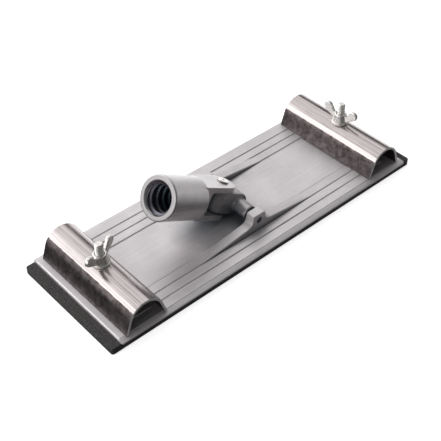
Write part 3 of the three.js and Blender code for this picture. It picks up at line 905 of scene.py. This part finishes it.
RUBBER_GRAIN = (900, 900, 1600)
RUBBER_GRAIN_SPLIT = (0.4, 0.68)
RUBBER_GRAIN_DEPTH = 0.0004
RUBBER_CLOUD = (90, 90, 160)
RUBBER_CLOUD_SPLIT = (0.4, 0.65)
RUBBER_CLOUD_SHARE = 0.6
RUBBER_BLACK = (0.008, 0.009, 0.01, 1)
RUBBER_DUST = (0.13, 0.13, 0.125, 1)
RUBBER_BROWN = (0.07, 0.052, 0.054, 1)
RUBBER_ROUGHNESS = (0.62, 0.85)


def node(tree, kind, inputs=None, **settings):
    """Adds a node; an input is a value or another node's output."""
    made = tree.nodes.new("ShaderNode" + kind)
    for name, value in settings.items():
        setattr(made, name, value)
    for name, value in (inputs or {}).items():
        if isinstance(value, bpy.types.NodeSocket):
            tree.links.new(value, made.inputs[name])
        else:
            made.inputs[name].default_value = value
    return made


def blank_material(name):
    material = bpy.data.materials.new(name)
    material.use_nodes = True
    material.node_tree.nodes.clear()
    return material, material.node_tree


def stretched_noise(tree, scales, detail=4.0, rough=0.6):
    """Noise over the piece's own coordinates; scales are bumps per metre along x, y and z."""
    where = node(tree, "TexCoord").outputs["Object"]
    place = node(tree, "Mapping", {"Vector": where, "Scale": scales}).outputs["Vector"]
    made = node(tree, "TexNoise", {"Vector": place, "Scale": 1.0, "Detail": detail, "Roughness": rough})
    return made.outputs["Fac"]


def ranged(tree, value, low, high, to_low, to_high):
    made = node(tree, "MapRange", {
        "Value": value,
        "From Min": low,
        "From Max": high,
        "To Min": to_low,
        "To Max": to_high,
    })
    return made.outputs["Result"]


def mixed(tree, share, first, second, blend="MIX"):
    """Two colours mixed; the node's inputs 0, 6 and 7 and its output 2 are those of a colour mix."""
    made = node(tree, "Mix", data_type="RGBA", blend_type=blend)
    sockets = (made.inputs[0], made.inputs[6], made.inputs[7])
    for socket, value in zip(sockets, (share, first, second)):
        if isinstance(value, bpy.types.NodeSocket):
            tree.links.new(value, socket)
        else:
            socket.default_value = value
    return made.outputs[2]


def object_part(tree, axis):
    """One of the piece's own coordinates, in metres."""
    return node(tree, "SeparateXYZ", {"Vector": node(tree, "TexCoord").outputs["Object"]}).outputs[axis]


def maths(tree, operation, first, second):
    return node(tree, "Math", {0: first, 1: second}, operation=operation).outputs["Value"]


def times(tree, first, second):
    return maths(tree, "MULTIPLY", first, second)


def grey(value):
    return (value, value, value, 1)


def mauve(value):
    return (*(value * part for part in MAUVE), 1)


def bumped(tree, height, distance, strength, under=None):
    inputs = {"Height": height, "Distance": distance, "Strength": strength}
    if under is not None:
        inputs["Normal"] = under
    return node(tree, "Bump", inputs).outputs["Normal"]


def finish_material(tree, colour, roughness, normal, **values):
    """Principled shader with the given sockets, wired to the output."""
    inputs = {"Base Color": colour, "Roughness": roughness, "Normal": normal}
    inputs.update({name.replace("_", " "): value for name, value in values.items()})
    shader = node(tree, "BsdfPrincipled", inputs).outputs["BSDF"]
    node(tree, "OutputMaterial", {"Surface": shader})


def below_mouth(tree, start, end, to_start, to_end):
    """Blend over the depth below the pole socket's mouth, in millimetres."""
    z = object_part(tree, "Z")
    return ranged(tree, z, (SOCKET_MOUTH - start) * MM, (SOCKET_MOUTH - end) * MM, to_start, to_end)


def bore_mask(tree):
    """1 inside the pole socket's threaded bore, 0 outside; the piece's z runs along the bore."""
    x = object_part(tree, "X")
    y = object_part(tree, "Y")
    z = object_part(tree, "Z")
    radius = maths(tree, "SQRT", maths(tree, "ADD", times(tree, x, x), times(tree, y, y)), 0)
    inside = ranged(tree, radius, THREAD_MAJOR * MM, (THREAD_MAJOR + BORE_WALL_BLEND) * MM, 1, 0)
    deep = below_mouth(tree, *BORE_START_BLEND, 0, 1)
    low, high = ((SOCKET_REAR + past) * MM for past in BORE_FORK_BLEND)
    past_fork = ranged(tree, z, low, high, 0, 1)
    return times(tree, times(tree, inside, deep), past_fork)


def socket_tone(tree, tone):
    """The casting's tone with painted shade in the bore, darkest deep down, and a duller faced mouth.
    """
    depth = below_mouth(tree, *BORE_PAINTED_SHADE_FADE, 0, 1)
    # Painted shade: the bore darkens from its mouth towards its floor.
    bore_painted_shade = mixed(tree, depth, BORE_PAINTED_SHADE_DEEP, BORE_PAINTED_SHADE_SHALLOW)
    tone = mixed(tree, bore_mask(tree), tone, bore_painted_shade)
    face = below_mouth(tree, *MOUTH_FACE_BLEND, 0, 1)
    return mixed(tree, face, tone, mauve(MOUTH_FACE_TONE))


def cast_material(
    name,
    dark,
    light,
    streaks,
    metallic,
    painted_shade_reach,
    roughness=CAST_ROUGHNESS,
    bore=False,
    painted_shade_span=None,
):
    """Tumbled die casting: grain, soft blotches, streaks along one axis, and painted shade in its
    corners and under nearby parts.
    """
    material, tree = blank_material(name)
    grain = stretched_noise(tree, CAST_GRAIN, detail=3)
    blotch = stretched_noise(tree, CAST_BLOTCH, detail=3)
    streak = stretched_noise(tree, streaks, detail=5, rough=0.7)
    tone = mixed(tree, ranged(tree, blotch, *SPLIT, 0, 1), mauve(dark), mauve(light))
    lift = ranged(tree, streak, *CAST_STREAK_SPLIT, 0, CAST_STREAK_SHARE)
    tone = mixed(tree, lift, tone, mauve(min(CAST_BRIGHTEST, light * CAST_STREAK_GAIN)))
    kept = ranged(tree, grain, *CAST_FLECK_SPLIT, CAST_FLECK_KEEPS, 1)
    tone = mixed(tree, kept, grey(dark * CAST_FLECK_GAIN), tone)
    # Painted shade: where ambient occlusion finds nearby surfaces, in corners and under the socket and
    # fork, the tone darkens to blue-black and metallic drops; on the plate only near the middle.
    openness = node(tree, "AmbientOcclusion", {"Distance": painted_shade_reach * MM}, samples=8).outputs["AO"]
    painted_shade = ranged(tree, openness, *PAINTED_SHADE_OPENNESS, PAINTED_SHADE_SHARE, 0)
    if painted_shade_span:
        off_middle = maths(tree, "ABSOLUTE", object_part(tree, "X"), 0)
        low, high = (reach * MM for reach in painted_shade_span)
        painted_shade = times(tree, painted_shade, ranged(tree, off_middle, low, high, 1, 0))
    tone = mixed(tree, painted_shade, tone, PAINTED_SHADE_COLOUR)
    if bore:
        tone = socket_tone(tree, tone)
    metal = ranged(tree, painted_shade, 0, 1, metallic, PAINTED_SHADE_METAL_SHARE * metallic)
    rough = ranged(tree, streak, *MIDDLE, *roughness)
    normal = bumped(tree, grain, CAST_GRAIN_DEPTH, strength=0.35)
    normal = bumped(tree, blotch, CAST_BLOTCH_DEPTH, strength=0.12, under=normal)
    finish_material(tree, tone, rough, normal, Metallic=metal)
    return material


def inside_mask(tree):
    """1 on the faces of the bent sheet that look towards the axis of its arch."""
    where = node(tree, "TexCoord")
    flat = node(tree, "VectorMath", {0: where.outputs["Object"], 1: (1, 0, 1)}, operation="MULTIPLY")
    axis = (0, 0, (PLATE_TOP + CLAMP_ARCH_CENTRE) * MM)
    away = node(tree, "VectorMath", {0: flat.outputs[0], 1: axis}, operation="SUBTRACT")
    facing = {0: away.outputs[0], 1: where.outputs["Normal"]}
    towards = node(tree, "VectorMath", facing, operation="DOT_PRODUCT").outputs["Value"]
    return ranged(tree, towards, *(reach * MM for reach in INSIDE_BLEND), 1, 0)


def sheet_material(name, painted_leg_top):
    """Bright plated sheet, streaked along y; painted shade darkens its inside, and a painted dark
    reflection its legs below the given height.
    """
    material, tree = blank_material(name)
    streak = stretched_noise(tree, SHEET_STREAK, detail=4, rough=0.65)
    smudge = stretched_noise(tree, SHEET_SMUDGE, detail=5, rough=0.7)
    patch = stretched_noise(tree, SHEET_PATCH, detail=4, rough=0.75)
    wave = stretched_noise(tree, SHEET_WAVE, detail=2)
    tone = mixed(tree, ranged(tree, smudge, *SHEET_SMUDGE_SPLIT, 0, 1), SHEET_DARK, SHEET_LIGHT)
    tone = mixed(tree, ranged(tree, streak, *SHEET_STREAK_SPLIT, 0, 1), tone, SHEET_BRIGHT)
    # Painted dark reflection and shade: the colour laid on the legs and on the inside of the arch.
    sheet_painted_shade = mixed(tree, ranged(tree, patch, *SPLIT, 0, 1), SHEET_PAINTED_SHADE_DARK, SHEET_PAINTED_SHADE_LIGHT)
    waver = ranged(tree, patch, *MIDDLE, -PAINTED_LEG_WAVER * MM, PAINTED_LEG_WAVER * MM)
    height = maths(tree, "ADD", object_part(tree, "Z"), waver)
    painted_leg = ranged(tree, height, painted_leg_top * MM, (painted_leg_top + PAINTED_LEG_FADE) * MM, 1, 0)
    normal_parts = node(tree, "SeparateXYZ", {"Vector": node(tree, "TexCoord").outputs["Normal"]})
    across = maths(tree, "ABSOLUTE", normal_parts.outputs["Y"], 0)
    cut_edge = ranged(tree, across, *CUT_EDGE_FACING, 0, 1)
    bent_face = maths(tree, "SUBTRACT", 1, cut_edge)
    painted_leg = times(tree, painted_leg, bent_face)
    inner = times(tree, inside_mask(tree), bent_face)
    # The painted dark reflection on the legs and the painted shade inside the arch replace the bright
    # tone.
    tone = mixed(tree, maths(tree, "MAXIMUM", painted_leg, inner), tone, sheet_painted_shade)
    tone = mixed(tree, cut_edge, tone, grey(CUT_EDGE_TONE))
    rough = ranged(tree, smudge, *MIDDLE, *SHEET_ROUGHNESS)
    rough = maths(tree, "ADD", rough, times(tree, painted_leg, LEG_ROUGHER))
    normal = bumped(tree, streak, SHEET_STREAK_DEPTH, strength=0.3)
    normal = bumped(tree, wave, SHEET_WAVE_DEPTH, strength=0.25, under=normal)
    metal = ranged(tree, cut_edge, 0, 1, 1, CUT_EDGE_METAL)
    finish_material(tree, tone, rough, normal, Metallic=metal)
    return material


def zinc_material():
    """Bright zinc plate over a cast or rolled surface."""
    material, tree = blank_material("zinc_hardware")
    grain = stretched_noise(tree, ZINC_GRAIN, detail=3)
    cloud = stretched_noise(tree, ZINC_CLOUD, detail=3)
    tone = mixed(tree, ranged(tree, cloud, *ZINC_CLOUD_SPLIT, 0, 1), ZINC_DARK, ZINC_LIGHT)
    rough = ranged(tree, cloud, *MIDDLE, *ZINC_ROUGHNESS)
    normal = bumped(tree, grain, ZINC_GRAIN_DEPTH, strength=0.3)
    finish_material(tree, tone, rough, normal, Metallic=ZINC_METAL)
    return material


def rubber_material():
    """Moulded black foam rubber with pale dust in its open grain."""
    material, tree = blank_material("black_pad")
    grain = stretched_noise(tree, RUBBER_GRAIN, detail=4)
    cloud = stretched_noise(tree, RUBBER_CLOUD, detail=3)
    tone = mixed(tree, ranged(tree, grain, *RUBBER_GRAIN_SPLIT, 0, 1), RUBBER_BLACK, RUBBER_DUST)
    browned = ranged(tree, cloud, *RUBBER_CLOUD_SPLIT, 0, RUBBER_CLOUD_SHARE)
    tone = mixed(tree, browned, tone, RUBBER_BROWN)
    rough = ranged(tree, grain, *MIDDLE, *RUBBER_ROUGHNESS)
    normal = bumped(tree, grain, RUBBER_GRAIN_DEPTH, strength=0.6)
    finish_material(tree, tone, rough, normal)
    return material


# ---- the pieces ----
def build_object():
    plate_cast = cast_material(
        "cast_plate",
        dark=0.72,
        light=0.83,
        streaks=ALONG_PLATE,
        metallic=0.72,
        painted_shade_reach=20,
        painted_shade_span=(45, 70),
    )
    swivel_cast = cast_material(
        "cast_swivel",
        dark=0.5,
        light=0.6,
        streaks=ALONG_SOCKET,
        metallic=0.8,
        painted_shade_reach=22,
    )
    socket_cast = cast_material(
        "cast_socket",
        dark=0.56,
        light=0.68,
        streaks=ALONG_SOCKET,
        metallic=0.9,
        painted_shade_reach=14,
        roughness=(0.26, 0.36),
        bore=True,
    )
    zinc = zinc_material()
    piece(pad_solid(), "pad_foam", "head", "pad", rubber_material())
    piece(plate_solid(), "plate_casting", "head", "base_plate", plate_cast)
    pin_frame = Matrix.Translation(TILT_POINT)
    piece(pin_solid(), "tilt_pin", "head", "pivot_pin", zinc, pin_frame)
    swivel = swivel_solid()
    piece(swivel, "swivel_casting", "swivel", "swivel_block", swivel_cast, SWIVEL_FRAME)
    socket = socket_solid()
    piece(socket, "socket_casting", "socket", "pole_socket", socket_cast, SOCKET_FRAME)
    piece(rivet_solid(), "fork_rivet", "socket", "swing_rivet", zinc, SOCKET_FRAME)
    for side, place in CLAMP_PLACES.items():
        upright = at_place(place)
        nut_frame = at_place(place, WASHER_HIGH.z) @ Matrix.Rotation(NUT_TURNS[side], 4, "Z")
        body = side + "_clamp"
        sheet = sheet_material("bright_sheet_" + side, PAINTED_LEG_TOPS[side])
        piece(clamp_solid(), f"clamp_sheet_{side}", body, f"clamp_{side}", sheet, upright)
        washer = washer_solid()
        piece(washer, f"flat_washer_{side}", body, f"washer_{side}", zinc, upright)
        bolt = bolt_solid()
        piece(bolt, f"bolt_{side}", "head", f"clamp_bolt_{side}", zinc, upright)
        nut = wing_nut_solid()
        piece(nut, f"wing_{side}", side + "_nut", f"wing_nut_{side}", zinc, nut_frame)


# ---- floor, light and camera ----
CAMERA_AZIMUTH = math.radians(41.845)
CAMERA_ELEVATION = math.radians(42.269)
CAMERA_DISTANCE = 0.551542
CAMERA_TARGET = Vector((-0.005602, 0.001864, -0.002584))
CAMERA_LENS = 75.09
CAMERA_SENSOR = 36.0
CAMERA_NEAR = 0.01

FLOOR_HALF = 12.0
FLOOR_DROP = 0.0002
FLOOR_GLOW = 0.75
FLOOR_TONES = (0.93, 0.95)
FLOOR_NOISE = (6, 6, 6)
FLOOR_NOISE_DEPTH = 0.0001
FLOOR_ROUGHNESS = 0.9

KEY_PLACE = (0.3, 1.25, 1.75)
KEY_AIM = (0, 0, 0)
KEY_SIZE = (3.0, 2.0)
KEY_POWER = 13.5

# Brightness by the height of the direction looked in, from -1 straight down to 1 straight up.
# SOFTBOX and TABLE are seen only near their own directions.
DOME = [
    (-0.9, 0.0),
    (-0.7, 0.14),
    (-0.02, 0.1),
    (0.02, 0.2),
    (0.36, 0.36),
    (0.6, 0.42),
    (0.76, 0.3),
    (1.0, 0.3),
]
SOFTBOX = [
    (-0.2, 0.0),
    (-0.05, 0.6),
    (0.06, 1.5),
    (0.62, 1.6),
    (0.7, 0.15),
    (0.9, 0.0),
]
TABLE = [
    (-0.95, 0.1),
    (-0.6, 1.5),
    (-0.2, 1.3),
    (0.08, 1.1),
    (0.2, 0.05),
    (0.5, 0.0),
]
DOME_BACK = (-0.9, 0.5)
DOME_FRONT_SHARE = 0.35
DOME_RIGHT = (0.52, 0.72)
DOME_RIGHT_SHARE = 0.2
DOME_RIGHT_TOP = (0.4, 0.52)
SOFTBOX_DIRECTION = (-0.83, 0.55, 0.0)
SOFTBOX_EDGE = (0.3, 0.55)
TABLE_DIRECTION = (0.8, 0.6, 0.0)
TABLE_EDGE = (0.15, 0.8)


def build_camera():
    lens = bpy.data.cameras.new("camera")
    lens.lens = CAMERA_LENS
    lens.sensor_width = CAMERA_SENSOR
    lens.clip_start = CAMERA_NEAR
    camera = bpy.data.objects.new("camera", lens)
    away = Vector((
        -math.cos(CAMERA_ELEVATION) * math.sin(CAMERA_AZIMUTH),
        -math.cos(CAMERA_ELEVATION) * math.cos(CAMERA_AZIMUTH),
        math.sin(CAMERA_ELEVATION),
    ))
    camera.location = CAMERA_TARGET + away * CAMERA_DISTANCE
    camera.rotation_euler = away.to_track_quat("Z", "Y").to_euler()
    bpy.context.scene.collection.objects.link(camera)
    bpy.context.scene.camera = camera


def build_floor():
    mesh = bpy.data.meshes.new("floor")
    half = FLOOR_HALF
    corners = [(-half, -half, 0), (half, -half, 0), (half, half, 0), (-half, half, 0)]
    mesh.from_pydata(corners, [], [(0, 1, 2, 3)])
    floor = bpy.data.objects.new("floor", mesh)
    bpy.context.scene.collection.objects.link(floor)
    material, tree = blank_material("pale_floor")
    shade = stretched_noise(tree, FLOOR_NOISE, detail=2)
    tone = mixed(tree, shade, *(grey(level) for level in FLOOR_TONES))
    normal = bumped(tree, shade, FLOOR_NOISE_DEPTH, strength=0.1)
    glow = {"Emission_Color": (1, 1, 1, 1), "Emission_Strength": FLOOR_GLOW}
    finish_material(tree, tone, FLOOR_ROUGHNESS, normal, **glow)
    mesh.materials.append(material)
    floor.location.z = -FLOOR_DROP
    floor.visible_glossy = False
    floor.visible_diffuse = False


def build_key_light():
    light = bpy.data.lights.new("key", "AREA")
    light.shape = "RECTANGLE"
    light.size, light.size_y = KEY_SIZE
    light.energy = KEY_POWER
    lamp = bpy.data.objects.new("key", light)
    lamp.location = KEY_PLACE
    lamp.rotation_euler = (Vector(KEY_PLACE) - Vector(KEY_AIM)).to_track_quat("Z", "Y").to_euler()
    lamp.visible_camera = False
    bpy.context.scene.collection.objects.link(lamp)


def sky_ramp(tree, height, stops):
    """Colour ramp through (height, brightness) stops."""
    ramp = node(tree, "ValToRGB", {"Fac": ranged(tree, height, -1, 1, 0, 1)})
    elements = ramp.color_ramp.elements
    for element, (level, value) in zip(elements, (stops[0], stops[-1])):
        element.position = (level + 1) / 2
        element.color = grey(value)
    for level, value in stops[1:-1]:
        elements.new((level + 1) / 2).color = grey(value)
    return ramp.outputs["Color"]


def sky_towards(tree, where, height, stops, direction, edge):
    """A sky ramp that is seen only near one direction."""
    near = {0: where, 1: direction}
    closeness = node(tree, "VectorMath", near, operation="DOT_PRODUCT").outputs["Value"]
    seen = ranged(tree, closeness, *edge, 0, 1)
    return mixed(tree, 1.0, sky_ramp(tree, height, stops), seen, "MULTIPLY")


def build_world():
    """Soft dome, a long softbox to the picture's left, and a pale table's glow beyond the object."""
    world = bpy.data.worlds.new("studio")
    world.use_nodes = True
    bpy.context.scene.world = world
    tree = world.node_tree
    tree.nodes.clear()
    where = node(tree, "TexCoord").outputs["Generated"]
    parts = node(tree, "SeparateXYZ", {"Vector": where}).outputs
    height = parts["Z"]
    back = ranged(tree, parts["Y"], *DOME_BACK, DOME_FRONT_SHARE, 1)
    right = ranged(tree, parts["X"], *DOME_RIGHT, 1, DOME_RIGHT_SHARE)
    right = maths(tree, "MAXIMUM", right, ranged(tree, height, *DOME_RIGHT_TOP, 0, 1))
    dome = mixed(tree, 1.0, sky_ramp(tree, height, DOME), back, "MULTIPLY")
    dome = mixed(tree, 1.0, dome, right, "MULTIPLY")
    softbox = sky_towards(tree, where, height, SOFTBOX, SOFTBOX_DIRECTION, SOFTBOX_EDGE)
    table = sky_towards(tree, where, height, TABLE, TABLE_DIRECTION, TABLE_EDGE)
    shade = mixed(tree, 1.0, mixed(tree, 1.0, dome, softbox, "ADD"), table, "ADD")
    sky = node(tree, "Background", {"Color": shade, "Strength": 1.0}).outputs["Background"]
    node(tree, "OutputWorld", {"Surface": sky})


def build_stage():
    build_floor()
    build_world()
    build_key_light()
    bpy.context.scene.view_settings.view_transform = "Standard"


build_camera()
build_stage()
build_object()
